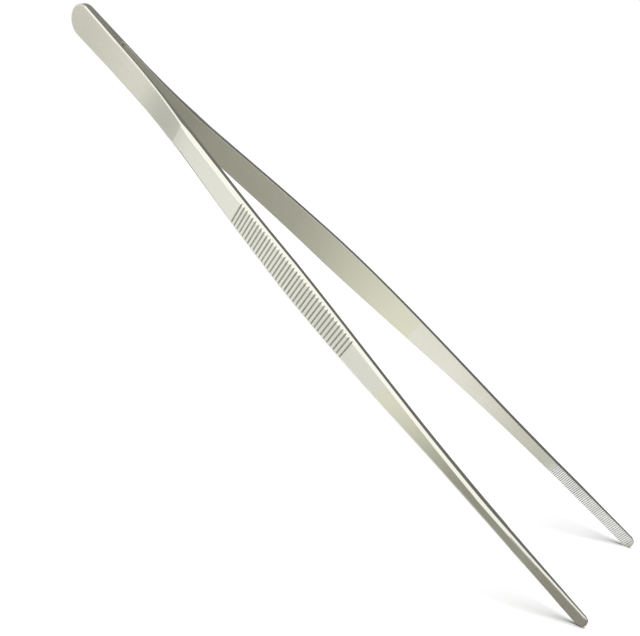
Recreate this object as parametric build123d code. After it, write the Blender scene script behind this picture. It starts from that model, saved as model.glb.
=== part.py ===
from build123d import *
import math
import os

# Long kitchen tweezers of stainless steel, in millimetres. Two mirrored arms are seam welded
# to each other at the tail end only, and each is its own leaf spring from there.
# Stations run along X from the tail end (0) to the tips (length). The arms open along Y, and
# the strips stand on edge, so their width lies along Z.

# Whole object
length = 300.0
tip_gap = 46.8

# Tail end, where the two strips lie face to face
pad_length = 27.0
tail_width = 13.6
seam_leg = 0.5
seat_offset = 0.35

# Spring leaf, the thin ground stretch between the welded tail and the crease
leaf_thickness = 1.27
leaf_thin_to = 41.0
leaf_edge_width = 0.62
bevel_run_out_from = 70.0

# Crease, waist and grip
crease_at = 72.9
waist_width = 10.25
crease_thickness = 2.65
bevel_full_from = 78.5
bevel_width = 1.48
bevel_depth_share = 0.56
grip_width = 12.85
widest_at = 145.6
grip_thickness = 2.3
grip_thinnest_at = 135.7

# Jaw
jaw_from = 262.2
jaw_width = 4.85
neck_at = 200.4
neck_thickness = 2.12
neck_bevel_width = 1.08
jaw_swell_at = 250.2
jaw_thickness = 2.45
jaw_thins_from = 272.1
jaw_thins_thickness = 2.1
tip_thickness = 1.15
tip_bevel_width = 0.55

# Bends of the strip, each a stretch over which its slope changes evenly
shoulder_from = 49.0
shoulder_to = 74.9
bow_from = 105.8
bow_middle = 135.7
bow_to = 228.3
leaf_slope_share = 0.17
bow_middle_slope_share = 0.75
jaw_slope_share = 0.32

# Grip grooves across the outer face
groove_first_at = 114.94
groove_pitch = 1.793
groove_count = 38
groove_width = 0.55
groove_depth = 0.25

# Serrations across the inner face of the jaw
tooth_first_at = 261.75
tooth_pitch = 0.707
tooth_count = 53
tooth_depth = 0.28

# Hinge that stands for the leaf's bending, and how far short of the middle plane a tip stops
hinge_at = 48.0
closed_clearance = 0.06

# Cutting tools reach past the stock by this much
overrun = 2.0

# Sections of each lofted strip
leaf_section_count = 8
arm_section_count = 30

slope_keys = [
    (0, leaf_slope_share),
    (shoulder_from, leaf_slope_share),
    (shoulder_to, 1),
    (bow_from, 1),
    (bow_middle, bow_middle_slope_share),
    (bow_to, jaw_slope_share),
    (length, jaw_slope_share),
]
thickness_keys = [
    (0, leaf_thickness),
    (leaf_thin_to, leaf_thickness),
    (crease_at, crease_thickness),
    (grip_thinnest_at, grip_thickness),
    (neck_at, neck_thickness),
    (jaw_swell_at, jaw_thickness),
    (jaw_thins_from, jaw_thins_thickness),
    (length, tip_thickness),
]
bevel_keys = [
    (0, leaf_edge_width),
    (bevel_run_out_from, leaf_edge_width),
    (bevel_full_from, bevel_width),
    (widest_at, bevel_width),
    (neck_at, neck_bevel_width),
    (jaw_swell_at, neck_bevel_width),
    (length, tip_bevel_width),
]


def between(keys, x):
    """The value at station x, in straight steps from key to key."""
    for (x0, v0), (x1, v1) in zip(keys, keys[1:]):
        if x <= x1:
            return v0 + (v1 - v0) * (x - x0) / (x1 - x0)
    return keys[-1][1]


def area_under(keys, x):
    """The area under the straight steps, from the first key to station x."""
    total = 0
    for (x0, _), (x1, v1) in zip(keys, keys[1:]):
        end = min(x, x1)
        if end > x0:
            total += (between(keys, x0) + between(keys, end)) / 2 * (end - x0)
    return total


def width_at(x):
    """The strip's width: two straight tapers that meet at the waist, then an even S to the jaw."""
    if x < crease_at:
        share = (x - tail_width / 2) / (crease_at - tail_width / 2)
        return tail_width + (waist_width - tail_width) * share
    if x < widest_at:
        return waist_width + (grip_width - waist_width) * (x - crease_at) / (widest_at - crease_at)
    share = min(1, (x - widest_at) / (jaw_from - widest_at))
    return grip_width + (jaw_width - grip_width) * share**2 * (3 - 2 * share)


flare_slope = (tip_gap / 2 - seat_offset) / area_under(slope_keys, length)


def inner_at(x):
    """How far the arm's inner face is from the middle plane."""
    return seat_offset + flare_slope * area_under(slope_keys, x)


def outer_at(x):
    return inner_at(x) + between(thickness_keys, x)


def angle_at(x, face_at):
    """The angle of a face to X in degrees, over a groove's pitch."""
    ahead = groove_pitch / 2
    return math.degrees(math.atan2(face_at(x + ahead) - face_at(x - ahead), 2 * ahead))


def face_of(x, corners):
    """A flat face square to X, from its (y, z) corners in order."""
    return make_face(Polyline(*[Vector(x, y, z) for y, z in corners], close=True))


def strip_section(x):
    """A strip's section: a flat inner face and bevels along the outer edges."""
    half = width_at(x) / 2
    bevel = between(bevel_keys, x)
    side, inner, outer = outer_at(x) - bevel * bevel_depth_share, inner_at(x), outer_at(x)
    low_edge = [(outer, bevel - half), (side, -half), (inner, -half)]
    return face_of(x, low_edge + [(inner, half), (side, half), (outer, half - bevel)])


def plate_section(x):
    """The tail plate's section: as the strip's, but down to the middle plane and cut for the weld."""
    half = width_at(x) / 2
    bevel = between(bevel_keys, x)
    side, outer = outer_at(x) - bevel * bevel_depth_share, outer_at(x)
    low_edge = [(outer, bevel - half), (side, -half), (seam_leg, -half), (0, seam_leg - half)]
    high_edge = [(0, half - seam_leg), (seam_leg, half), (side, half), (outer, half - bevel)]
    return face_of(x, low_edge + high_edge)


def steps(start, end, count):
    return [start + (end - start) * i / count for i in range(count + 1)]


def rounded_end(end_x, radius, towards_tips):
    """Room that ends in a half round of this radius, as tall and deep as the whole object."""
    centre = end_x - radius if towards_tips else end_x + radius
    depth = tip_gap + grip_width
    round_stock = Pos(centre, 0, 0) * Rot(90, 0, 0) * Cylinder(radius, 2 * depth)
    reach = length / 2
    middle = centre - reach if towards_tips else centre + reach
    return round_stock + Pos(middle, 0, 0) * Box(2 * reach, 2 * depth, 2 * tail_width)


def make_tail_plate():
    """The welded end: flat inside, slightly wedge shaped, its inner rim cut back for the weld."""
    radius = tail_width / 2
    on_base = (Align.CENTER, Align.CENTER, Align.MIN)
    nose = Cone(radius - seam_leg, radius, seam_leg, align=on_base)
    nose += Pos(0, 0, seam_leg) * Cylinder(radius, tail_width, align=on_base)
    room = Pos(radius, 0, 0) * Rot(-90, 0, 0) * nose
    room += Pos(radius + pad_length, 0, 0) * Box(2 * pad_length, 2 * tail_width, 2 * tail_width)
    return loft([plate_section(x) for x in (0, radius, pad_length)], ruled=True) & room


def make_weld_seam(left_plate, right_plate):
    """The V of weld metal round the tail's rim, ground flush with both plates."""
    ends = []
    for x in (0, pad_length):
        half = width_at(x) / 2
        corners = [(-seam_leg, -half), (-seam_leg, half), (seam_leg, half), (seam_leg, -half)]
        ends.append(face_of(x, corners))
    ring = loft(ends, ruled=True) & rounded_end(0, tail_width / 2, False)
    return ring - left_plate - right_plate


def make_spring_leaf():
    stations = steps(pad_length, crease_at, leaf_section_count)
    return loft([strip_section(x) for x in stations], ruled=True)


def make_grooves():
    stock = Box(groove_width, 2 * groove_depth, grip_width + 2 * overrun)
    grooves = []
    for i in range(groove_count):
        x = groove_first_at + i * groove_pitch
        grooves.append(Pos(x, outer_at(x), 0) * Rot(0, 0, angle_at(x, outer_at)) * stock)
    return grooves


def make_teeth():
    side = tooth_depth * math.sqrt(2)
    stock = Rot(0, 0, 45) * Box(side, side, jaw_width + 2 * overrun)
    teeth = []
    for i in range(tooth_count):
        x = tooth_first_at + i * tooth_pitch
        teeth.append(Pos(x, inner_at(x), 0) * Rot(0, 0, angle_at(x, inner_at)) * stock)
    return teeth


def make_arm():
    """The stiff part of an arm, from the crease to the tip: grip and jaw in one piece."""
    stations = sorted({*steps(crease_at, length, arm_section_count), bevel_full_from})
    strip = loft([strip_section(x) for x in stations], ruled=True)
    strip = strip & rounded_end(length, jaw_width / 2, True)
    return strip - make_grooves() - make_teeth()


def closing_angle(pivot_y):
    """How far an arm turns, in degrees, until its tip is just short of the middle plane."""
    reach, rise = length - hinge_at, inner_at(length) - pivot_y
    below = math.asin((pivot_y - closed_clearance) / math.hypot(reach, rise))
    return math.degrees(math.atan2(rise, reach) + below)


def place(shape):
    """Moves a shape from the tail end's stations to the origin under the object's middle."""
    return Pos(-length / 2, 0, tail_width / 2) * shape


left_plate = make_tail_plate()
right_plate = mirror(left_plate, about=Plane.XZ)
left_leaf = make_spring_leaf()
left_arm = make_arm()
parts = {
    "left_tail_plate": left_plate,
    "right_tail_plate": right_plate,
    "weld_seam": make_weld_seam(left_plate, right_plate),
    "left_spring_leaf": left_leaf,
    "right_spring_leaf": mirror(left_leaf, about=Plane.XZ),
    "left_arm": left_arm,
    "right_arm": mirror(left_arm, about=Plane.XZ),
}

pivot_y = (inner_at(hinge_at) + outer_at(hinge_at)) / 2
print("hinge pivot x", hinge_at - length / 2, "y", round(pivot_y, 4), "z", tail_width / 2)
print("closing angle", round(closing_angle(pivot_y), 3))

os.makedirs("parts", exist_ok=True)
for name, shape in parts.items():
    export_step(place(shape), f"parts/{name}.step")
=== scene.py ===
import math

import bmesh
import bpy
import numpy as np
from mathutils import Matrix, Vector


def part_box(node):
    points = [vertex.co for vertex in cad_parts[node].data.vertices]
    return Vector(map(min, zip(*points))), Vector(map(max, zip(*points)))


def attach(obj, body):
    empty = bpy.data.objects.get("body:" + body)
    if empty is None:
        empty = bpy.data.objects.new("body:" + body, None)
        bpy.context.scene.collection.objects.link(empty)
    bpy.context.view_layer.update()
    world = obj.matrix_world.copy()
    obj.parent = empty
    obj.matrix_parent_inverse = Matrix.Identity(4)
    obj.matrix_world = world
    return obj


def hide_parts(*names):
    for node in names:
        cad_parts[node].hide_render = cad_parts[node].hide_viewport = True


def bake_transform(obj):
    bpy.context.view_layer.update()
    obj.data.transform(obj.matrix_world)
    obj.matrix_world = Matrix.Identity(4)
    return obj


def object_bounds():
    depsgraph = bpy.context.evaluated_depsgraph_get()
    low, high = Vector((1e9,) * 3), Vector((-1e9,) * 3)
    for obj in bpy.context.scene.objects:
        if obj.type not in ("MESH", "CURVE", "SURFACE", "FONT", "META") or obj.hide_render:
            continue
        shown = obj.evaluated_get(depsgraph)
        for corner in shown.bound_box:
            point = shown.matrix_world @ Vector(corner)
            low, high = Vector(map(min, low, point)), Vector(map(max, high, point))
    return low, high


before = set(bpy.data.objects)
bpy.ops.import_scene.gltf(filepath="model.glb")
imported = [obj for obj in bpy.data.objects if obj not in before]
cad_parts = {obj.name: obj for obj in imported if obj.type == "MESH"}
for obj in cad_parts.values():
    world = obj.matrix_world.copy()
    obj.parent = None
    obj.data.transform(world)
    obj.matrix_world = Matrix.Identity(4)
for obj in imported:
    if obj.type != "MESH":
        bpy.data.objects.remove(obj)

bl_info = {
    "name": "Kitchen Tweezers",
    "version": (1, 0, 0),
    "blender": (4, 5, 0),
    "location": "3D View > Sidebar > Tweezers",
    "description": "Long kitchen tweezers of satin steel, with the studio they are shown in",
    "category": "Add Mesh",
}

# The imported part, in metres: its box, and where its plates and leaves end along X
cad_low, cad_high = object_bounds()
_, plate_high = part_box("left_tail_plate")
_, leaf_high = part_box("left_spring_leaf")
MM = 0.001

# Stations of one strip that have no setting, in millimetres from the tail end
LEAF_THIN_TO = 41.0
SHOULDER_FROM = 49.0
BEVEL_RUNS_OUT_FROM = 70.0
SHOULDER_TO = 74.9
BEVEL_FULL_FROM = 78.5
BOW_FROM = 105.8
BOW_MIDDLE = 135.7
NECK_AT = 200.4
BOW_TO = 228.3
JAW_SWELL_AT = 250.2
JAW_THINS_FROM = 272.1
# The strip's slope on some of them, as a share of its steepest
LEAF_SLOPE = 0.17
BOW_MIDDLE_SLOPE = 0.75
JAW_SLOPE = 0.32
# Thicknesses and widths of the bevel that have no setting, in millimetres
NECK_THICKNESS = 2.12
JAW_THINS_THICKNESS = 2.1
LEAF_BEVEL = 0.62
NECK_BEVEL = 1.08
TIP_BEVEL = 0.55
# Half the lean of a groove's wall and a step on it, half the blunt floor of a serration, and a
# step past its mouth, in millimetres
GROOVE_WALL = 0.06
GROOVE_WALL_STEP = 0.02
TOOTH_FLOOR = 0.04
TOOTH_MARGIN = 0.03
# How fine the mesh is, in millimetres: along the strip, along its bend from here to there, and
# how far a face's first row is from its corner
COARSE_STEP = 2.0
FINE_STEP = 1.0
FINE_FROM = 46.0
FINE_TO = 80.0
FACE_MARGIN = 0.1
# Rows on both sides of the weld's end and of the crease, in millimetres from them
WELD_EDGE = 0.004
CREASE_ROWS = (-0.25, -0.1, 0.1, 0.25)
# Points of the mesh this close, in millimetres, become one, and slivers this thin go
MERGE_WITHIN = 0.002
SLIVER = 0.0005
# Edges by the weld that turn by more than this stay sharp
SHARP_TURN = math.radians(40)


# Settings

def length_setting(name, description, default):
    """A size in metres, shown in the scene's own length unit."""
    return bpy.props.FloatProperty(
        name=name, description=description, default=default, min=0.0, unit="LENGTH", precision=5
    )


def share_setting(name, description, default):
    """A plain factor from 0 to 1."""
    return bpy.props.FloatProperty(
        name=name, description=description, default=default, min=0.0, max=1.0, subtype="FACTOR"
    )


def colour_setting(name, description, default):
    return bpy.props.FloatVectorProperty(
        name=name, description=description, default=default, size=3, min=0.0, max=1.0,
        subtype="COLOR",
    )


class TweezersStripSettings(bpy.types.PropertyGroup):
    """Sizes of one strip, from the welded tail to the tip."""

    length: length_setting("Length", "Tail end to tip", cad_high.x - cad_low.x)
    spread: length_setting("Spread", "Over both tips, outside", cad_high.y - cad_low.y)
    tail_width: length_setting("Tail width", "Width of the rounded tail", cad_high.z - cad_low.z)
    weld_to: length_setting("Weld to", "Where the weld ends", plate_high.x - cad_low.x)
    crease_at: length_setting("Crease at", "Where leaf and grip meet", leaf_high.x - cad_low.x)
    waist_width: length_setting("Waist width", "Width at the crease", 10.25 * MM)
    grip_width: length_setting("Grip width", "Greatest width of the grip", 12.85 * MM)
    widest_at: length_setting("Widest at", "Station of that width", 145.6 * MM)
    jaw_from: length_setting("Jaw from", "Where the narrow jaw starts", 262.2 * MM)
    jaw_width: length_setting("Jaw width", "Width of the jaw", 4.85 * MM)
    leaf_thickness: length_setting("Leaf thickness", "Of the thin springy stretch", 1.27 * MM)
    crease_thickness: length_setting("Crease thickness", "At the crease", 2.65 * MM)
    grip_thickness: length_setting("Grip thickness", "Where the grip is thinnest", 2.3 * MM)
    jaw_thickness: length_setting("Jaw thickness", "At the swell behind the jaw", 2.45 * MM)
    tip_thickness: length_setting("Tip thickness", "At the very tip", 1.15 * MM)
    bevel_width: length_setting("Bevel width", "Of the grip's ground edges", 1.48 * MM)
    corner_radius: length_setting("Corner radius", "Of the strip's broken corners", 0.13 * MM)


class TweezersTextureSettings(bpy.types.PropertyGroup):
    """The grooves across the grip and the serrations across the jaw."""

    groove_first: length_setting("First groove", "Station of the first groove", 114.94 * MM)
    groove_pitch: length_setting("Groove pitch", "From groove to groove", 1.793 * MM)
    groove_width: length_setting("Groove width", "Across its mouth", 0.55 * MM)
    groove_depth: length_setting("Groove depth", "Below the outer face", 0.25 * MM)
    groove_count: bpy.props.IntProperty(
        name="Grooves", description="Grooves across each grip", default=38, min=1
    )
    tooth_first: length_setting("First serration", "Station of the first cut", 261.75 * MM)
    tooth_pitch: length_setting("Serration pitch", "From cut to cut", 0.707 * MM)
    tooth_depth: length_setting("Serration depth", "Below the inner face", 0.28 * MM)
    tooth_count: bpy.props.IntProperty(
        name="Serrations", description="Cuts across each jaw", default=53, min=1
    )


class TweezersSteelSettings(bpy.types.PropertyGroup):
    """Colours and finish of the steel."""

    steel: colour_setting("Steel", "Satin stainless steel", (0.70, 0.694, 0.612))
    polish: colour_setting("Polished edge", "Where edges have worn bright", (0.82, 0.82, 0.77))
    # Painted shade: the dark colour of the floors of grooves and cuts, which are also rougher.
    recess_shade: colour_setting("Recess", "Floors of grooves and cuts", (0.24, 0.235, 0.20))
    # Painted highlight: the bright colour over the serrations' flanks and crests.
    crest_highlight: colour_setting("Crest", "Cut flanks and crests of the serrations", (0.92, 0.92, 0.9))
    # Painted shade: the near-black colour of the serrations' floors.
    valley_shade: colour_setting("Valley", "Floors of the serrations", (0.06, 0.06, 0.06))
    roughness: share_setting("Roughness", "Of the satin faces", 0.2)
    grain: share_setting("Grain", "Strength of the lengthwise brushing", 0.35)
    brushed: share_setting("Brushed", "How much further light spreads across the grain", 0.8)


class TweezersStageSettings(bpy.types.PropertyGroup):
    """The floor, the light and the lens."""

    floor: colour_setting("Floor", "Colour of the floor", (0.85, 0.85, 0.85))
    lens: bpy.props.FloatProperty(
        name="Lens", description="Focal length on a 36 mm sensor", default=47.584, min=10.0
    )
    lamp_power: bpy.props.FloatProperty(
        name="Overhead lamp", description="Power of the large soft lamp", default=15.85, min=0.0,
        unit="POWER",
    )
    lamp_light: bpy.props.FloatProperty(
        name="Lamp's light", description="Radiance it gives the floor right below", default=1.26,
        min=0.0,
    )
    floor_level: bpy.props.FloatProperty(
        name="Floor level", description="Radiance of the floor out of the shadow", default=1.08,
        min=0.0,
    )
    sky: share_setting("Sky", "How much the room itself lights the floor", 0.08)


# The strip's formulas

def along(keys, x):
    """Straight steps from key to key, for every station at once."""
    places, values = np.array(keys, float).T
    return np.interp(x, places, values)


def area_under(keys, x):
    """The area under those steps up to x: the whole trapezia before it and the part of one."""
    places, values = np.array(keys, float).T
    whole = np.concatenate([[0.0], np.cumsum((values[1:] + values[:-1]) / 2 * np.diff(places))])
    i = np.clip(np.searchsorted(places, x, side="right") - 1, 0, len(places) - 2)
    return whole[i] + (values[i] + np.interp(x, places, values)) / 2 * (x - places[i])


def smooth(share):
    """An even S from 0 to 1: three squares less two cubes."""
    share = np.clip(share, 0.0, 1.0)
    return share * share * (3 - 2 * share)


class StripShape:
    """The strip's width, faces and cuts at every station, in millimetres."""

    def __init__(self, strip, texture):
        mm = {name: getattr(strip, name) / MM for name in strip.__annotations__}
        self.length, self.tail_width = mm["length"], mm["tail_width"]
        self.weld_to, self.crease_at = mm["weld_to"], mm["crease_at"]
        self.waist_width, self.grip_width = mm["waist_width"], mm["grip_width"]
        self.widest_at, self.jaw_from = mm["widest_at"], mm["jaw_from"]
        self.jaw_width, self.corner = mm["jaw_width"], mm["corner_radius"]
        self.weld_leg, self.seat, self.bevel_slope = 0.5, 0.35, 0.56
        self.slopes = [
            (0, LEAF_SLOPE), (SHOULDER_FROM, LEAF_SLOPE), (SHOULDER_TO, 1), (BOW_FROM, 1),
            (BOW_MIDDLE, BOW_MIDDLE_SLOPE), (BOW_TO, JAW_SLOPE), (self.length, JAW_SLOPE),
        ]
        self.thicknesses = [
            (0, mm["leaf_thickness"]), (LEAF_THIN_TO, mm["leaf_thickness"]),
            (self.crease_at, mm["crease_thickness"]), (BOW_MIDDLE, mm["grip_thickness"]),
            (NECK_AT, NECK_THICKNESS), (JAW_SWELL_AT, mm["jaw_thickness"]),
            (JAW_THINS_FROM, JAW_THINS_THICKNESS), (self.length, mm["tip_thickness"]),
        ]
        self.bevels = [
            (0, LEAF_BEVEL), (BEVEL_RUNS_OUT_FROM, LEAF_BEVEL),
            (BEVEL_FULL_FROM, mm["bevel_width"]), (self.widest_at, mm["bevel_width"]),
            (NECK_AT, NECK_BEVEL), (JAW_SWELL_AT, NECK_BEVEL), (self.length, TIP_BEVEL),
        ]
        tip_inside = mm["spread"] / 2 - mm["tip_thickness"]
        self.flare = (tip_inside - self.seat) / area_under(self.slopes, np.array(self.length))
        self.texture = texture

    def width(self, x):
        """Two straight tapers that meet at the waist, then an even S down to the jaw."""
        nose = self.tail_width / 2
        leaf = self.tail_width + (self.waist_width - self.tail_width) * (x - nose) / (
            self.crease_at - nose
        )
        grip = self.waist_width + (self.grip_width - self.waist_width) * (x - self.crease_at) / (
            self.widest_at - self.crease_at
        )
        s = smooth((x - self.widest_at) / (self.jaw_from - self.widest_at))
        jaw = self.grip_width + (self.jaw_width - self.grip_width) * s
        return np.where(x < self.crease_at, leaf, np.where(x < self.widest_at, grip, jaw))

    def strip_inside(self, x):
        """Height of the inner face: the flare times the area under the slopes."""
        return self.seat + self.flare * area_under(self.slopes, x)

    def inside(self, x):
        """The inner face with the weld: flat in the middle plane up to the weld's end, then a
        quarter round that opens into the gap between the strips."""
        gap = float(self.strip_inside(np.array(self.weld_to)))
        past = np.clip(x - self.weld_to, 0.0, gap)
        root = np.sqrt(np.clip(gap**2 - (gap - past) ** 2, 0.0, None))
        open_face = np.where(past < gap, root, self.strip_inside(x))
        return np.where(x < self.weld_to, 0.0, open_face)

    def outside(self, x):
        return self.strip_inside(x) + along(self.thicknesses, x)

    def groove(self, x):
        """Depth of the grip's grooves: flat floors with short S walls, all of one pitch."""
        t = self.texture
        first, pitch, half = t.groove_first / MM, t.groove_pitch / MM, t.groove_width / MM / 2
        nearest = np.clip(np.round((x - first) / pitch), 0, t.groove_count - 1)
        away = np.abs(x - first - nearest * pitch)
        return t.groove_depth / MM * smooth((half + GROOVE_WALL - away) / (2 * GROOVE_WALL))

    def tooth(self, x):
        """Depth of the jaw's serrations: V cuts as deep as half their width, blunt below."""
        t = self.texture
        first, pitch, depth = t.tooth_first / MM, t.tooth_pitch / MM, t.tooth_depth / MM
        nearest = np.clip(np.round((x - first) / pitch), 0, t.tooth_count - 1)
        away = np.abs(x - first - nearest * pitch)
        return np.clip(depth - away, 0.0, depth - TOOTH_FLOOR)

    def serrated(self, x):
        """1 over the stretch with serrations and 0 elsewhere, with half a pitch between."""
        t = self.texture
        first, pitch = t.tooth_first / MM, t.tooth_pitch / MM
        inside = np.minimum(x - first, first + (t.tooth_count - 1) * pitch - x)
        return np.clip(inside / pitch * 2 + 1, 0.0, 1.0)


def spread_stations(first, pitch, count, offsets):
    """The same few stations round every cut of a row of like cuts."""
    return (first + pitch * np.arange(count)[:, None] + np.array(offsets)[None, :]).ravel()


def nose_angles():
    """Angles of the tail's half round, shared by the strips and the weld so that they meet."""
    return np.linspace(0.0, np.pi / 2, 29)


def outline(shape):
    """Rows from nose to tip. Each row has a point of the upper edge and the way inwards from it:
    round the tail's half round, along the side, and round the tip's half round."""
    t = shape.texture
    nose, tip = shape.tail_width / 2, shape.jaw_width / 2
    tip_centre = shape.length - tip
    half = t.groove_width / MM / 2
    on_wall = (-GROOVE_WALL, -GROOVE_WALL_STEP, GROOVE_WALL_STEP, GROOVE_WALL)
    grooves = spread_stations(
        t.groove_first / MM, t.groove_pitch / MM, t.groove_count,
        [wall + by for wall in (-half, half) for by in on_wall],
    )
    depth = t.tooth_depth / MM
    teeth = spread_stations(
        t.tooth_first / MM, t.tooth_pitch / MM, t.tooth_count,
        (-depth - TOOTH_MARGIN, -depth, -TOOTH_FLOOR, TOOTH_FLOOR, depth, depth + TOOTH_MARGIN),
    )
    root = np.linspace(0, np.pi / 2, 10)[1:]
    gap = float(shape.strip_inside(np.array(shape.weld_to)))
    fixed = np.concatenate([
        np.arange(nose, tip_centre, COARSE_STEP), np.arange(FINE_FROM, FINE_TO, FINE_STEP),
        [tip_centre],
        [shape.weld_to - WELD_EDGE, shape.weld_to + WELD_EDGE],
        shape.weld_to + gap * (1 - np.cos(root)), shape.crease_at + np.array(CREASE_ROWS), grooves,
        teeth,
    ])
    sides = np.unique(np.round(fixed, 4))
    sides = sides[(sides >= nose) & (sides <= tip_centre + 1e-6)]
    inset = shape.corner + FACE_MARGIN
    late = teeth[(teeth > tip_centre + 0.01) & (teeth < shape.length - inset - 0.02)]
    to_tip = np.unique(np.concatenate([
        np.linspace(0, np.pi / 2, 17)[1:], np.arcsin((late - tip_centre) / (tip - inset)),
    ]))
    angle = nose_angles()[:-1]
    x = np.concatenate([
        nose - nose * np.cos(angle), sides, tip_centre + tip * np.sin(to_tip)
    ])
    z = np.concatenate([nose * np.sin(angle), shape.width(sides) / 2, tip * np.cos(to_tip)])
    inward_x = np.concatenate([np.cos(angle), 0 * sides, -np.sin(to_tip)])
    inward_z = np.concatenate([-np.sin(angle), -1 + 0 * sides, -np.cos(to_tip)])
    z[0] = z[-1] = 0.0
    inward_z[0] = inward_z[-1] = 0.0
    return x, z, inward_x, inward_z


def arc_point(start, corner, end, share):
    """A corner's rounding: the quadratic curve from start to end that the corner pulls."""
    return (1 - share) ** 2 * start + 2 * share * (1 - share) * corner + share**2 * end


def strip_grid(shape):
    """The whole strip as one grid. Rows follow the outline, and columns go once round the
    section: outer face, upper bevel, side, inner face, and back by the lower edge. A column is
    the outline moved inwards by its distance from the edge. Its height is the outer face less
    the bevel's drop or the groove's, whichever is more, or the inner face plus the cut's depth
    and the corner's rise."""
    px, pz, nx, nz = (a[:, None] for a in outline(shape))
    r, rise_slope = shape.corner, shape.bevel_slope
    bevel = along(shape.bevels, px)
    cos_a, sin_a = 1 / math.hypot(1, rise_slope), rise_slope / math.hypot(1, rise_slope)
    edge_drop = rise_slope * bevel
    welded = px < shape.weld_to
    leg = np.where(welded, shape.weld_leg, r)
    turn = np.linspace(0, 1, 5)[None, :]
    one = np.ones_like(px)

    def block(inset, drop, rise, share, t, edge, ground):
        """Columns of one stretch of the section, all brought to the grid's shape."""
        parts = np.broadcast_arrays(inset, drop, rise, share, t, edge, ground)
        return [np.array(p, float) for p in parts]

    across = np.array([[0.0, 0.25, 0.5, 0.75, 0.93, 1.0]])
    down = np.array([[0.88, 0.7, 0.5, 0.25]])
    blocks = [
        # Outer face, from the middle to near its edge
        block((bevel + r + FACE_MARGIN) * np.ones_like(across), 0.0, 0.0, 1.0, across, 0.0, 0.0),
        # Corner between outer face and bevel
        block(arc_point(bevel + r, bevel, bevel - r * cos_a, turn),
              arc_point(0.0, 0.0, r * sin_a, turn) * one, 0.0, 1.0, 1.0,
              np.array([[0.0, 0.7, 1.0, 0.7, 0.2]]), np.array([[0.0, 0.2, 0.5, 0.8, 1.0]])),
        # Bevel
        block(bevel * down, edge_drop * (1 - down), 0.0, 1.0, 1.0, 0.0, 1.0),
        # Corner between bevel and side
        block(arc_point(r * cos_a, 0.0, 0.0, turn) * one,
              arc_point(edge_drop - r * sin_a, edge_drop, edge_drop + r, turn), 0.0, 1.0, 1.0,
              np.array([[0.2, 0.8, 1.0, 0.8, 0.2]]), np.array([[1.0, 0.8, 0.5, 0.2, 0.0]])),
        # Side
        block(0.0 * one, edge_drop + r, leg, np.array([[0.92, 0.5, 0.08]]), 1.0, 0.0, 0.0),
        # Corner between side and inner face, a straight cut where the weld sits in it
        block(np.where(welded, leg * turn, arc_point(0.0, 0.0, leg, turn)), 0.0,
              np.where(welded, leg * (1 - turn), arc_point(leg, 0.0, 0.0, turn)), 0.0, 1.0,
              np.array([[0.2, 0.8, 1.0, 0.8, 0.0]]), 0.0),
        # Inner face, from near its edge to the middle
        block((leg + FACE_MARGIN) * np.ones_like(across), 0.0, 0.0, 0.0, across[:, ::-1], 0.0,
              0.0),
    ]
    inset, drop, rise, share, t, edge, ground = (
        np.concatenate([b[i] for b in blocks], axis=1) for i in range(7)
    )
    x = px + inset * nx
    z = (pz + inset * nz) * t
    groove, tooth = shape.groove(x), shape.tooth(x)
    top = shape.outside(x) - np.maximum(drop, groove)
    low = shape.inside(x) + tooth + rise
    y = low + (top - low) * share
    # The cut mask carries painted shade into the floors of the grooves and serrations, and the
    # serrated mask carries a painted highlight over the serrations.
    cut = np.where(share == 1.0, (groove > drop) * groove / (groove.max() + 1e-9), 0.0)
    cut = np.where(share == 0.0, (tooth / (tooth.max() + 1e-9)) ** 1.5, cut)
    serrated = (share == 0.0) * shape.serrated(x)
    depth = y - shape.strip_inside(x)
    grids = [x, y, z, depth, edge, ground, cut, serrated]
    lower = [g[:, -2:0:-1] * (-1 if i == 2 else 1) for i, g in enumerate(grids)]
    return [np.concatenate([g, m], axis=1) for g, m in zip(grids, lower)]


def weld_grid(shape):
    """The weld as one grid: a V section carried round the tail's rim, flush with both strips.
    Columns run over its flat ground face and back down the V's two sides."""
    angle = nose_angles()
    nose = shape.tail_width / 2
    straight = np.linspace(nose, shape.weld_to, 13)[1:]
    x = np.concatenate([nose - nose * np.cos(angle), straight])
    z = np.concatenate([nose * np.sin(angle), shape.width(straight) / 2])
    nx = np.concatenate([np.cos(angle), 0 * straight])
    nz = np.concatenate([-np.sin(angle), -1 + 0 * straight])
    px = np.concatenate([x[::-1], x[1:]])[:, None]
    pz = np.concatenate([z[::-1], -z[1:]])[:, None]
    nx = np.concatenate([nx[::-1], nx[1:]])[:, None]
    nz = np.concatenate([nz[::-1], -nz[1:]])[:, None]
    leg = shape.weld_leg
    y = np.array([[-leg, -leg / 2, 0.0, leg / 2, leg, leg / 2, 0.0, -leg / 2]])
    inset = np.array([[0.0, 0.0, 0.0, 0.0, 0.0, leg / 2, leg, leg / 2]])
    x, z = px + inset * nx, pz + inset * nz
    y = y + 0 * x
    return [x, y, z, y, 0 * x, 0 * x, 0 * x, 0 * x]


# Meshes

def grid_faces(rows, columns):
    """Four-cornered faces of a grid whose last column joins its first."""
    i = np.arange(rows - 1)[:, None] * columns
    j = np.arange(columns)[None, :]
    k = (j + 1) % columns
    return np.stack([i + j, i + k, i + columns + k, i + columns + j], axis=-1).reshape(-1, 4)


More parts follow.
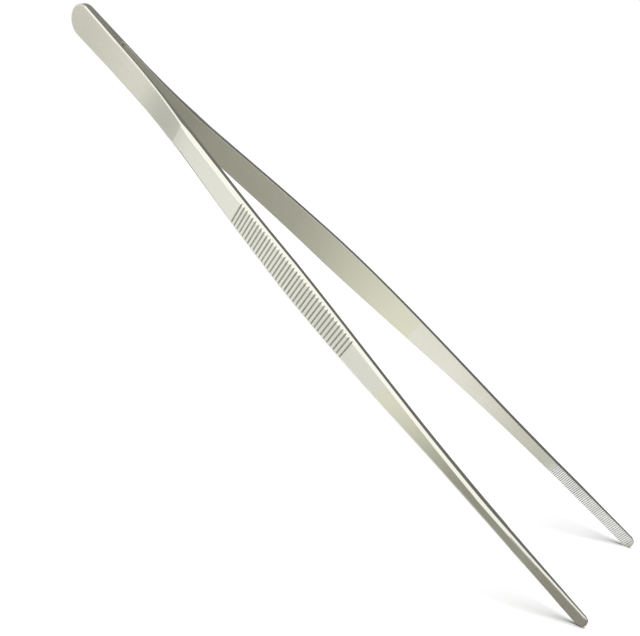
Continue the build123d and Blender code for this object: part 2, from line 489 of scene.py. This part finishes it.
def grid_object(name, grids, side, capped):
    """Puts a grid into a mesh. Millimetres from the tail end become metres round the middle of
    the object, with its width standing on the floor of the frame. The steel's own coordinates
    and the marks for its finish, and for the painted shade and highlight of its cuts, go with it
    as attributes."""
    x, y, z, depth, edge, ground, cut, serrated = grids
    rows, columns = x.shape
    places = np.stack([
        x * MM + cad_low.x, side * y * MM, z * MM + (cad_low.z + cad_high.z) / 2
    ], axis=-1).reshape(-1, 3)
    faces = grid_faces(rows, columns).tolist()
    if capped:
        faces += [list(range(columns)), list(range((rows - 1) * columns, rows * columns))]
    mesh = bpy.data.meshes.new(name)
    mesh.from_pydata(places.tolist(), [], faces)
    grain = mesh.attributes.new("strip_place", "FLOAT_VECTOR", "POINT")
    grain.data.foreach_set("vector", np.stack([x, side * depth, z], axis=-1).astype("f").ravel())
    marks = (("edge", edge), ("ground", ground), ("cut", cut), ("serrated", serrated))
    for label, values in marks:
        mark = mesh.attributes.new(label, "FLOAT", "POINT")
        mark.data.foreach_set("value", values.astype("f").ravel())
    work = bmesh.new()
    work.from_mesh(mesh)
    bmesh.ops.remove_doubles(work, verts=work.verts, dist=MERGE_WITHIN * MM)
    bmesh.ops.dissolve_degenerate(work, edges=work.edges, dist=SLIVER * MM)
    bmesh.ops.recalc_face_normals(work, faces=work.faces)
    open_edges = sum(1 for e in work.edges if not e.is_manifold)
    volume = work.calc_volume(signed=True) / MM**3
    for face in work.faces:
        face.smooth = True
    for edge in work.edges:
        by_weld = max(v.co.x for v in edge.verts) <= plate_high.x
        edge.smooth = not by_weld or edge.calc_face_angle(0.0) < SHARP_TURN
    work.to_mesh(mesh)
    work.free()
    if open_edges or volume <= 0:
        raise RuntimeError(f"{name}: {open_edges} open edges, volume {volume:.1f} mm3")
    print(f"{name}: {len(mesh.polygons)} faces, {volume:.0f} mm3")
    piece = bpy.data.objects.new(name, mesh)
    bpy.context.scene.collection.objects.link(piece)
    return piece


# Node helpers

def add(tree, kind, inputs=None, **settings):
    """Adds a node, sets its settings, and links or fills the inputs that are given."""
    node = tree.nodes.new(kind)
    for label, value in settings.items():
        setattr(node, label, value)
    for label, value in (inputs or {}).items():
        if isinstance(value, bpy.types.NodeSocket):
            tree.links.new(value, node.inputs[label])
        else:
            node.inputs[label].default_value = value
    return node


def math_node(tree, operation, a, b=0.0, clamp=False):
    node = add(tree, "ShaderNodeMath", {0: a, 1: b}, operation=operation, use_clamp=clamp)
    return node.outputs[0]


def mix_colour(tree, factor, a, b, blend_type="MIX"):
    node = add(tree, "ShaderNodeMix", data_type="RGBA", blend_type=blend_type)
    for socket, value in ((node.inputs[0], factor), (node.inputs[6], a), (node.inputs[7], b)):
        if isinstance(value, bpy.types.NodeSocket):
            tree.links.new(value, socket)
        else:
            socket.default_value = value
    return node.outputs[2]


def new_group(name, inputs, outputs):
    """An empty shader node group with named sockets, and its two end nodes."""
    group = bpy.data.node_groups.new(name, "ShaderNodeTree")
    for label, kind, value in inputs:
        socket = group.interface.new_socket(label, in_out="INPUT", socket_type=kind)
        if value is not None:
            socket.default_value = value
    for label, kind in outputs:
        group.interface.new_socket(label, in_out="OUTPUT", socket_type=kind)
    return group, group.nodes.new("NodeGroupInput"), group.nodes.new("NodeGroupOutput")


def brushed_grain_group():
    """Lengthwise brushing: noise drawn out along the strip, fine over coarse."""
    found = bpy.data.node_groups.get("Brushed grain")
    if found:
        return found
    group, start, end = new_group(
        "Brushed grain",
        [("Place", "NodeSocketVector", None), ("Lines per mm", "NodeSocketFloat", 9.0),
         ("Drawn out", "NodeSocketFloat", 40.0)],
        [("Lines", "NodeSocketFloat"), ("Height", "NodeSocketFloat")],
    )
    fine, drawn = start.outputs["Lines per mm"], start.outputs["Drawn out"]
    shrink = math_node(group, "DIVIDE", fine, drawn)
    scale = add(group, "ShaderNodeCombineXYZ", {0: shrink, 1: fine, 2: fine})
    stretched = add(
        group, "ShaderNodeVectorMath", {0: start.outputs["Place"], 1: scale.outputs[0]},
        operation="MULTIPLY",
    ).outputs[0]
    hair = add(group, "ShaderNodeTexNoise",
               {"Vector": stretched, "Scale": 1.0, "Detail": 2.0, "Roughness": 0.6})
    band = add(group, "ShaderNodeTexNoise",
               {"Vector": stretched, "Scale": 0.23, "Detail": 2.0, "Roughness": 0.5})
    lines = math_node(group, "ADD", math_node(group, "MULTIPLY", hair.outputs[0], 0.6),
                      math_node(group, "MULTIPLY", band.outputs[0], 0.4))
    group.links.new(lines, end.inputs["Lines"])
    group.links.new(hair.outputs[0], end.inputs["Height"])
    return group


def uneven_mark_group():
    """Breaks up a mark such as a worn edge or the painted shade in a cut, so that it is stronger
    here than there.
    """
    found = bpy.data.node_groups.get("Uneven mark")
    if found:
        return found
    group, start, end = new_group(
        "Uneven mark",
        [("Mark", "NodeSocketFloat", 0.0), ("Place", "NodeSocketVector", None),
         ("Patches per mm", "NodeSocketFloat", 0.4), ("Unevenness", "NodeSocketFloat", 0.5)],
        [("Mask", "NodeSocketFloat")],
    )
    patches = add(group, "ShaderNodeTexNoise",
                  {"Vector": start.outputs["Place"], "Scale": start.outputs["Patches per mm"],
                   "Detail": 3.0, "Roughness": 0.6}).outputs[0]
    low = math_node(group, "SUBTRACT", 1.0, start.outputs["Unevenness"])
    level = add(group, "ShaderNodeMapRange",
                {"Value": patches, "From Min": 0.35, "From Max": 0.65, "To Min": low,
                 "To Max": 1.0})
    group.links.new(math_node(group, "MULTIPLY", start.outputs["Mark"], level.outputs[0], True),
                    end.inputs["Mask"])
    return group


def smudge_group():
    """Slow clouds of handling and washing, as a mask round one half."""
    found = bpy.data.node_groups.get("Handling smudges")
    if found:
        return found
    group, start, end = new_group(
        "Handling smudges",
        [("Place", "NodeSocketVector", None), ("Clouds per mm", "NodeSocketFloat", 0.05)],
        [("Mask", "NodeSocketFloat")],
    )
    cloud = add(group, "ShaderNodeTexNoise",
                {"Vector": start.outputs["Place"], "Scale": start.outputs["Clouds per mm"],
                 "Detail": 4.0, "Roughness": 0.55, "Distortion": 0.6}).outputs[0]
    level = add(group, "ShaderNodeMapRange", {"Value": cloud, "From Min": 0.3, "From Max": 0.7})
    group.links.new(level.outputs[0], end.inputs["Mask"])
    return group


def use_group(tree, group, inputs):
    return add(tree, "ShaderNodeGroup", inputs, node_tree=group)


def attribute(tree, name):
    return add(tree, "ShaderNodeAttribute", attribute_name=name, attribute_type="GEOMETRY")


def four(colour, by=1.0):
    """A colour with its alpha, made lighter or darker by a factor."""
    return (*[min(1.0, c * by) for c in colour], 1.0)


def steel_material(name, steel, rougher=0.0, lines_per_mm=9.0, blotch=0.04):
    """Satin steel: brushing in colour, roughness and bump, slow smudges, bright worn edges,
    finer ground bevels, painted shade on the rougher floors of grooves and cuts, and a painted
    highlight over the serrations."""
    material = bpy.data.materials.new(name)
    material.use_nodes = True
    tree = material.node_tree
    tree.nodes.clear()
    place = attribute(tree, "strip_place").outputs["Vector"]
    grain = use_group(tree, brushed_grain_group(), {"Place": place, "Lines per mm": lines_per_mm})
    smudge = use_group(tree, smudge_group(), {"Place": place}).outputs["Mask"]
    worn = use_group(tree, uneven_mark_group(), {
        "Mark": attribute(tree, "edge").outputs["Fac"], "Place": place,
    }).outputs["Mask"]
    # Painted shade in grooves and cuts, broken up; the same mask makes their floors rougher.
    sunk_shade_and_dullness = use_group(tree, uneven_mark_group(), {
        "Mark": attribute(tree, "cut").outputs["Fac"], "Place": place,
        "Patches per mm": 1.3, "Unevenness": 0.25,
    }).outputs["Mask"]
    serrated = attribute(tree, "serrated").outputs["Fac"]
    ground = attribute(tree, "ground").outputs["Fac"]

    lines = grain.outputs["Lines"]
    base = mix_colour(tree, lines, four(steel.steel, 1 - 2 * blotch), four(steel.steel, 1.02))
    base = mix_colour(tree, math_node(tree, "MULTIPLY", smudge, blotch * 5), base,
                      four(steel.steel, 0.84))
    base = mix_colour(tree, math_node(tree, "MULTIPLY", worn, 0.5), base, four(steel.polish))
    # Painted highlight: the whole serrated stretch takes the bright crest colour.
    base = mix_colour(tree, serrated, base, four(steel.crest_highlight))
    # Painted shade: the floors of grooves darken to the recess colour, and those of the serrations
    # to the near-black valley colour.
    floor = mix_colour(tree, serrated, four(steel.recess_shade), four(steel.valley_shade))
    base = mix_colour(tree, math_node(tree, "MULTIPLY", sunk_shade_and_dullness, 0.95), base, floor)

    rough = math_node(tree, "ADD", math_node(tree, "MULTIPLY", lines, steel.grain * 0.25),
                      steel.roughness + rougher - steel.grain * 0.125)
    rough = math_node(tree, "ADD", rough, math_node(tree, "MULTIPLY", smudge, 0.05))
    rough = math_node(tree, "SUBTRACT", rough, math_node(tree, "MULTIPLY", worn, 0.06))
    rough = math_node(tree, "SUBTRACT", rough, math_node(tree, "MULTIPLY", ground, 0.03))
    rough = math_node(tree, "ADD", rough, math_node(tree, "MULTIPLY", sunk_shade_and_dullness, 0.15), True)
    bump = add(tree, "ShaderNodeBump",
               {"Height": grain.outputs["Height"], "Strength": steel.grain, "Distance": 2e-6})
    lengthwise = add(tree, "ShaderNodeCombineXYZ", {0: 1.0})
    shader = add(tree, "ShaderNodeBsdfPrincipled", {
        "Base Color": base, "Roughness": rough, "Normal": bump.outputs[0], "Metallic": 1.0,
        "Anisotropic": steel.brushed, "Anisotropic Rotation": 0.25,
        "Tangent": lengthwise.outputs[0],
    })
    add(tree, "ShaderNodeOutputMaterial", {"Surface": shader.outputs[0]})
    return material


# The studio

# The lens looks from here, in millimetres of the frame, along these three directions
EYE = Vector((74.93, -240.55, 200.86))
LOOK = Vector((-0.19384, 0.73999, -0.64409))
RIGHT = Vector((0.66481, 0.58188, 0.46844))
# Where the lamp hangs, in metres to the right, away and up from the tips
LAMP_AT = (0.30, -0.10, 0.95)
LAMP_SIZE = 0.85
# About the middle of the tweezers in the same terms, and a curved card's distance from it
MIDDLE_AT = Vector((-0.10, 0.06, 0.09))
CARD_DISTANCE = 0.8
# How high a sheet lies above the floor, and how far the floor reaches, in metres
SHEET_HEIGHT = 0.0005
FLOOR_REACH = 3.0
# The floor's share of its own level near the tips and further off, at these distances in metres
NEAR_TIPS = 0.05
OFF_TIPS = 0.15
LEVEL_NEAR = 1.02
LEVEL_OFF = 0.95
# Tints of the cards: none, a little yellow, and more of it
PLAIN = (1.0, 1.0, 1.0)
CREAM = (1.0, 1.0, 0.97)
STRAW = (1.0, 1.0, 0.9)
# The floor passes under both tips, level across the picture
FLOOR_UP = Vector((-0.576, 0.0, 0.8174)).normalized()


def studio_axes():
    """The floor's own right, away and up. Its origin is between the tips, right below their half
    rounds, so that both tips touch the floor."""
    right = (RIGHT - FLOOR_UP * RIGHT.dot(FLOOR_UP)).normalized()
    away = FLOOR_UP.cross(right)
    tip_radius = bpy.context.scene.tweezers_strip.jaw_width / 2
    centre = Vector((cad_high.x - tip_radius, 0.0, (cad_low.z + cad_high.z) / 2))
    return centre - FLOOR_UP * (tip_radius + 0.02 * MM), right, away, FLOOR_UP


def studio_point(right_by, away_by, up_by):
    """A point given in metres to the right, away from the lens and up from the tips."""
    origin, right, away, up = studio_axes()
    return origin + right * right_by + away * away_by + up * up_by


def facing(place, target):
    """A matrix at place whose -Z looks at target."""
    turn = (target - place).to_track_quat("-Z", "Y").to_matrix().to_4x4()
    return Matrix.Translation(place) @ turn


def shown_rays(tree):
    """1 for rays from the lens and for what steel or glass reflects or lets through."""
    path = add(tree, "ShaderNodeLightPath")
    seen = math_node(tree, "MAXIMUM", path.outputs["Is Camera Ray"], path.outputs["Is Glossy Ray"])
    return math_node(tree, "MAXIMUM", seen, path.outputs["Is Transmission Ray"])


def floor_material(stage):
    """A pale floor, clear from below. It glows by as much as its own even level is above the
    light that it gets from the room and from the lamp. The lamp's light falls off with the
    square of one plus the squared distance over the lamp's height. The level is a little higher
    round the tips, so that the shadows there end where the lamp's full light begins."""
    material = bpy.data.materials.new("Pale floor")
    material.use_nodes = True
    tree = material.node_tree
    tree.nodes.clear()
    place = add(tree, "ShaderNodeTexCoord").outputs["Object"]
    below = studio_point(LAMP_AT[0], LAMP_AT[1], 0.0)
    apart = add(tree, "ShaderNodeVectorMath", {0: place, 1: below}, operation="DISTANCE")
    spread = math_node(tree, "POWER", math_node(tree, "DIVIDE", apart.outputs["Value"],
                                                LAMP_AT[2]), 2.0)
    lamp_light = math_node(tree, "DIVIDE", stage.lamp_light,
                           math_node(tree, "POWER", math_node(tree, "ADD", spread, 1.0), 2.0))
    tips = studio_point(0.0, 0.0, 0.0)
    from_tips = add(tree, "ShaderNodeVectorMath", {0: place, 1: tips}, operation="DISTANCE")
    room_light = stage.sky * sum(stage.floor) / 3
    own_light = add(tree, "ShaderNodeMapRange", {
        "Value": from_tips.outputs["Value"], "From Min": NEAR_TIPS, "From Max": OFF_TIPS,
        "To Min": LEVEL_NEAR * stage.floor_level - room_light,
        "To Max": LEVEL_OFF * stage.floor_level - room_light,
    }).outputs[0]
    glow = math_node(tree, "SUBTRACT", own_light, lamp_light, True)
    paper = add(tree, "ShaderNodeBsdfDiffuse", {"Color": four(stage.floor)})
    white = add(tree, "ShaderNodeEmission", {
        "Strength": math_node(tree, "MULTIPLY", glow, shown_rays(tree)),
    })
    both = add(tree, "ShaderNodeAddShader", {0: paper.outputs[0], 1: white.outputs[0]})
    clear = add(tree, "ShaderNodeBsdfTransparent")
    behind = add(tree, "ShaderNodeNewGeometry").outputs["Backfacing"]
    mixed = add(tree, "ShaderNodeMixShader", {0: behind, 1: both.outputs[0], 2: clear.outputs[0]})
    add(tree, "ShaderNodeOutputMaterial", {"Surface": mixed.outputs[0]})
    material.cycles.emission_sampling = "NONE"
    return material


def stage_object(name, mesh):
    thing = bpy.data.objects.new(name, mesh)
    bpy.context.scene.collection.objects.link(thing)
    return thing


def stage_sheet(name, corners, material):
    """A flat sheet of the stage."""
    mesh = bpy.data.meshes.new(name)
    mesh.from_pydata([tuple(c) for c in corners], [], [tuple(range(len(corners)))])
    mesh.materials.append(material)
    return stage_object(name, mesh)


def card_material(name):
    """A matt card that glows as its own colours say."""
    material = bpy.data.materials.new(name)
    material.use_nodes = True
    tree = material.node_tree
    tree.nodes.clear()
    glow = add(tree, "ShaderNodeEmission", {"Color": attribute(tree, "level").outputs["Color"]})
    add(tree, "ShaderNodeOutputMaterial", {"Surface": glow.outputs[0]})
    material.cycles.emission_sampling = "NONE"
    return material


def only_for_steel(card):
    """A card that only steel sees: no shadow, no light on the floor, and not in the picture."""
    card.visible_camera = card.visible_diffuse = card.visible_shadow = False
    return card


def graded_card(name, rows, levels, tints):
    """A card for steel made of rows of two points each. Its colour, a level times a tint,
    changes evenly from one row's to the next."""
    faces = [(2 * i, 2 * i + 1, 2 * i + 3, 2 * i + 2) for i in range(len(rows) - 1)]
    mesh = bpy.data.meshes.new(name)
    mesh.from_pydata([tuple(point) for row in rows for point in row], [], faces)
    glow = np.ones((len(rows), 4))
    glow[:, :3] = np.array(levels)[:, None] * np.array(tints)
    level = mesh.attributes.new("level", "FLOAT_COLOR", "POINT")
    level.data.foreach_set("color", np.repeat(glow, 2, axis=0).astype("f").ravel())
    mesh.materials.append(card_material(name))
    return only_for_steel(stage_object(name, mesh))


def from_the_tweezers(azimuth, elevation, distance):
    """A studio point this far from the tweezers, at an azimuth clockwise from straight away and
    at an elevation above the floor, both in degrees."""
    a, e = math.radians(azimuth), math.radians(elevation)
    back = Vector((math.sin(a) * math.cos(e), math.cos(a) * math.cos(e), math.sin(e)))
    return MIDDLE_AT + back * distance


def curved_card(name, elevations, stops):
    """A reflector bent round the tweezers from stop to stop, each an azimuth and a level."""
    rows = [[studio_point(*from_the_tweezers(azimuth, e, CARD_DISTANCE)) for e in elevations]
            for azimuth, _ in stops]
    return graded_card(name, rows, [level for _, level in stops], [PLAIN])


def floor_sheet(name, away_from, away_to, tint, stops):
    """A card that lies on the floor between two distances away, with stops along the right, each
    a distance and a level."""
    rows = [[studio_point(r, a, SHEET_HEIGHT) for a in (away_from, away_to)] for r, _ in stops]
    return graded_card(name, rows, [level for _, level in stops], [tint])


def graded_flag(name, shape, outwards, side, heights, tint, stops):
    """A small card along one strip, as a flag on a set: it follows the strip's inner face from
    stop to stop, this far outwards of it, between two heights over the strip's low edge, all in
    millimetres. Side 0 is the middle plane, and a stop may bring a tint of its own."""
    rows = []
    for x, *_ in stops:
        y = side * (float(shape.strip_inside(np.array(float(max(x, 0))))) + outwards)
        edge = -float(shape.width(np.array(float(max(x, shape.tail_width / 2))))) / 2
        middle = (cad_low.z + cad_high.z) / 2
        rows.append([(x * MM + cad_low.x, y * MM, middle + (edge + h) * MM) for h in heights])
    tints = [own[0] if own else tint for _, _, *own in stops]
    return graded_card(name, rows, [stop[1] for stop in stops], tints)


def even_ramp(start, end, first, last, steps=8):
    """Stops from start to end whose level goes from first to last in an even S."""
    shares = [i / steps for i in range(steps + 1)]
    return [(start + (end - start) * s, first + (last - first) * float(smooth(s))) for s in shares]


def white_room(stage):
    """The world: plain white as seen or reflected, and a lower even light for the floor."""
    world = bpy.data.worlds.new("White room")
    world.use_nodes = True
    tree = world.node_tree
    tree.nodes.clear()
    level = add(tree, "ShaderNodeMapRange", {"Value": shown_rays(tree), "To Min": stage.sky})
    sky = add(tree, "ShaderNodeBackground", {
        "Color": (1.0, 1.0, 1.0, 1.0), "Strength": level.outputs[0],
    })
    add(tree, "ShaderNodeOutputWorld", {"Surface": sky.outputs[0]})
    world.cycles.sampling_method = "NONE"
    bpy.context.scene.world = world


def make_camera(stage):
    data = bpy.data.cameras.new("Picture camera")
    data.lens, data.sensor_width = stage.lens, 36.0
    data.clip_start, data.clip_end = 0.01, 20.0
    camera = bpy.data.objects.new("Picture camera", data)
    bpy.context.scene.collection.objects.link(camera)
    look = LOOK.normalized()
    right = (RIGHT - look * RIGHT.dot(look)).normalized()
    up = right.cross(look)
    turn = Matrix((right, up, -look)).transposed().to_4x4()
    camera.matrix_world = Matrix.Translation(EYE * MM) @ turn
    bpy.context.scene.camera = camera


# Operators

def make_strip(side, name):
    """One strip of the tweezers on its side of the middle plane, its shape bent at its leaf."""
    settings = bpy.context.scene
    shape = StripShape(settings.tweezers_strip, settings.tweezers_texture)
    hand = "left" if side > 0 else "right"
    piece = grid_object(name, strip_grid(shape), side, capped=False)
    steel = bpy.data.materials.get("Satin steel") or steel_material(
        "Satin steel", settings.tweezers_steel
    )
    piece.data.materials.append(steel)
    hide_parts(f"{hand}_tail_plate", f"{hand}_spring_leaf", f"{hand}_arm")
    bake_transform(piece)
    return piece


class TWEEZERS_OT_left_strip(bpy.types.Operator):
    """Build the left strip: tail, spring leaf, grip and jaw in one bent piece of steel"""

    bl_idname = "tweezers.left_strip"
    bl_label = "Left Strip"
    bl_options = {"REGISTER", "UNDO"}

    def execute(self, context):
        make_strip(1.0, "left_tweezer_strip")
        return {"FINISHED"}


class TWEEZERS_OT_right_strip(bpy.types.Operator):
    """Build the right strip, the mirror image of the left one"""

    bl_idname = "tweezers.right_strip"
    bl_label = "Right Strip"
    bl_options = {"REGISTER", "UNDO"}

    def execute(self, context):
        make_strip(-1.0, "right_tweezer_strip")
        return {"FINISHED"}


class TWEEZERS_OT_tail_weld(bpy.types.Operator):
    """Build the weld round the tail's rim, ground flush with both strips"""

    bl_idname = "tweezers.tail_weld"
    bl_label = "Tail Weld"
    bl_options = {"REGISTER", "UNDO"}

    def execute(self, context):
        settings = context.scene
        shape = StripShape(settings.tweezers_strip, settings.tweezers_texture)
        piece = grid_object("tail_weld", weld_grid(shape), 1.0, capped=True)
        piece.data.materials.append(steel_material(
            "Ground weld", settings.tweezers_steel, rougher=0.05, lines_per_mm=5.0, blotch=0.06
        ))
        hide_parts("weld_seam")
        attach(piece, "tail")
        return {"FINISHED"}


class TWEEZERS_OT_studio(bpy.types.Operator):
    """Set up the pale floor, the soft light, the cards and the camera"""

    bl_idname = "tweezers.studio"
    bl_label = "Studio"
    bl_options = {"REGISTER", "UNDO"}

    def execute(self, context):
        stage = context.scene.tweezers_stage
        origin, right, away, _ = studio_axes()
        corners = [origin + right * (sx * FLOOR_REACH) + away * (sy * FLOOR_REACH)
                   for sx, sy in ((-1, -1), (1, -1), (1, 1), (-1, 1))]
        stage_sheet("Floor", corners, floor_material(stage))
        lamp = bpy.data.lights.new("Overhead lamp", "AREA")
        lamp.shape, lamp.size, lamp.energy = "DISK", LAMP_SIZE, stage.lamp_power
        hung = bpy.data.objects.new("Overhead lamp", lamp)
        bpy.context.scene.collection.objects.link(hung)
        below = studio_point(LAMP_AT[0], LAMP_AT[1], 0.0)
        hung.matrix_world = facing(studio_point(*LAMP_AT), below)
        hung.visible_glossy = False
        curved_card("Dark card behind", (-6, 76), [(-35, 0.3), (5, 0.3), (60, 0.17), (100, 0.17)])
        curved_card("Softbox in front", (-2, 52), [(-95, 1.45), (-155, 1.45), (-179, 1.36)])
        floor_sheet("Dark sheet below the near tip", -0.0125, -0.2, (1.0, 0.97, 0.9), [
            (-0.085, 1.0), (-0.065, 0.365), (0.2, 0.365),
        ])
        floor_sheet("Shade below the far jaw", 0.035, 0.0, CREAM, [
            (-0.09, 1.05), (-0.04, 0.74), (-0.033, 0.74),
        ])
        floor_sheet("Shade below the far tip", 0.03, 0.005, CREAM, [
            (0.0125, 1.0), (0.014, 0.65), (0.03, 0.65),
        ])
        shape = StripShape(context.scene.tweezers_strip, context.scene.tweezers_texture)
        graded_flag("Slip between the strips", shape, 0.0, 0.0, (13.0, -34.0), STRAW, [
            (28, 0.38), (68, 0.38), (80, 0.44), *even_ramp(115, 190, 0.5, 1.04),
        ])
        graded_flag("Flag beside the tail", shape, 35.0, -1.0, (0.0, -80.0), CREAM, [
            (-44, 0.8), (-20, 0.8), (18, 1.0), (21, 1.0), (22, 0.54), (36, 0.54),
        ])
        graded_flag("Flag beside the jaw", shape, 15.0, -1.0, (0.6, -20.0), STRAW, [
            (150, 1.0, PLAIN), (196, 1.0, PLAIN), *even_ramp(198, 247, 1.0, 0.37), (284, 0.37),
        ])
        white_room(stage)
        make_camera(stage)
        context.scene.view_settings.view_transform = "Standard"
        return {"FINISHED"}


class TWEEZERS_PT_panel(bpy.types.Panel):
    """Sizes and finish of the tweezers, with a button for each piece"""

    bl_label = "Kitchen Tweezers"
    bl_idname = "TWEEZERS_PT_panel"
    bl_space_type = "VIEW_3D"
    bl_region_type = "UI"
    bl_category = "Tweezers"

    def draw(self, context):
        layout = self.layout
        for operator in OPERATORS:
            layout.operator(operator.bl_idname)
        for label, name, group in SETTINGS:
            box = layout.box()
            box.label(text=label)
            for field in group.__annotations__:
                box.prop(getattr(context.scene, name), field)


SETTINGS = (
    ("Strip", "tweezers_strip", TweezersStripSettings),
    ("Grooves and serrations", "tweezers_texture", TweezersTextureSettings),
    ("Steel", "tweezers_steel", TweezersSteelSettings),
    ("Studio", "tweezers_stage", TweezersStageSettings),
)
OPERATORS = (
    TWEEZERS_OT_left_strip,
    TWEEZERS_OT_right_strip,
    TWEEZERS_OT_tail_weld,
    TWEEZERS_OT_studio,
)


def register():
    for _, name, group in SETTINGS:
        bpy.utils.register_class(group)
        setattr(bpy.types.Scene, name, bpy.props.PointerProperty(type=group))
    for cls in (*OPERATORS, TWEEZERS_PT_panel):
        bpy.utils.register_class(cls)


def unregister():
    for cls in reversed((*OPERATORS, TWEEZERS_PT_panel)):
        bpy.utils.unregister_class(cls)
    for _, name, group in reversed(SETTINGS):
        delattr(bpy.types.Scene, name)
        bpy.utils.unregister_class(group)


def main():
    """Registers the classes and builds every piece in order."""
    register()
    bpy.ops.tweezers.left_strip()
    bpy.ops.tweezers.right_strip()
    bpy.ops.tweezers.tail_weld()
    bpy.ops.tweezers.studio()


if __name__ == "__main__":
    main()
